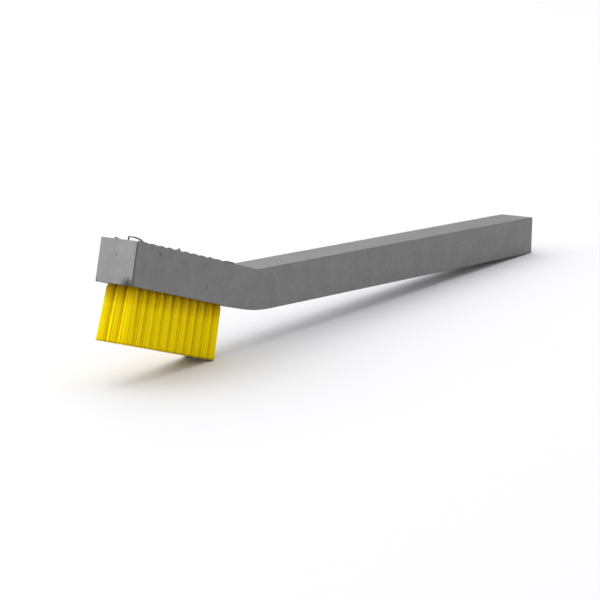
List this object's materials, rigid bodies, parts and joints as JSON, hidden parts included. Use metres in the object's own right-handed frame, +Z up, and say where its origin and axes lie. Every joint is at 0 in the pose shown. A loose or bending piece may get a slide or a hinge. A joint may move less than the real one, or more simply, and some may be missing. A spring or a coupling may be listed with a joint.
{
  "type": "bent-handle scratch brush",
  "caption": "Slim hand brush: a square metal bar bent at the head, with rows of yellow filament tufts laced into drilled holes by a thin wire.",
  "frame": {"origin": "centre of the bounding box at the surface the brush rests on", "axes": "+X along the brush from the nose of the head to the end of the handle, +Y across the bar, +Z up from the surface it rests on"},
  "size_m": [0.1992, 0.0112, 0.0368],
  "materials": {
    "bar_metal": "dull mill finish, lightly scuffed",
    "filament": "smooth extruded filament, cut tips",
    "wire": "drawn wire"
  },
  "bodies": {
    "root": {"handle_bar": "bar_metal", "tuft_left_01": "filament", "tuft_left_02": "filament", "tuft_left_03": "filament", "tuft_left_04": "filament", "tuft_left_05": "filament", "tuft_left_06": "filament", "tuft_left_07": "filament", "tuft_left_08": "filament", "tuft_left_09": "filament", "tuft_left_10": "filament", "tuft_left_11": "filament", "tuft_middle_01": "filament", "tuft_middle_02": "filament", "tuft_middle_03": "filament", "tuft_middle_04": "filament", "tuft_middle_05": "filament", "tuft_middle_06": "filament", "tuft_middle_07": "filament", "tuft_middle_08": "filament", "tuft_middle_09": "filament", "tuft_middle_10": "filament", "tuft_middle_11": "filament", "tuft_right_01": "filament", "tuft_right_02": "filament", "tuft_right_03": "filament", "tuft_right_04": "filament", "tuft_right_05": "filament", "tuft_right_06": "filament", "tuft_right_07": "filament", "tuft_right_08": "filament", "tuft_right_09": "filament", "tuft_right_10": "filament", "tuft_right_11": "filament", "lacing_wire_long": "wire", "lacing_wire_short": "wire"}
  },
  "joints": []
}
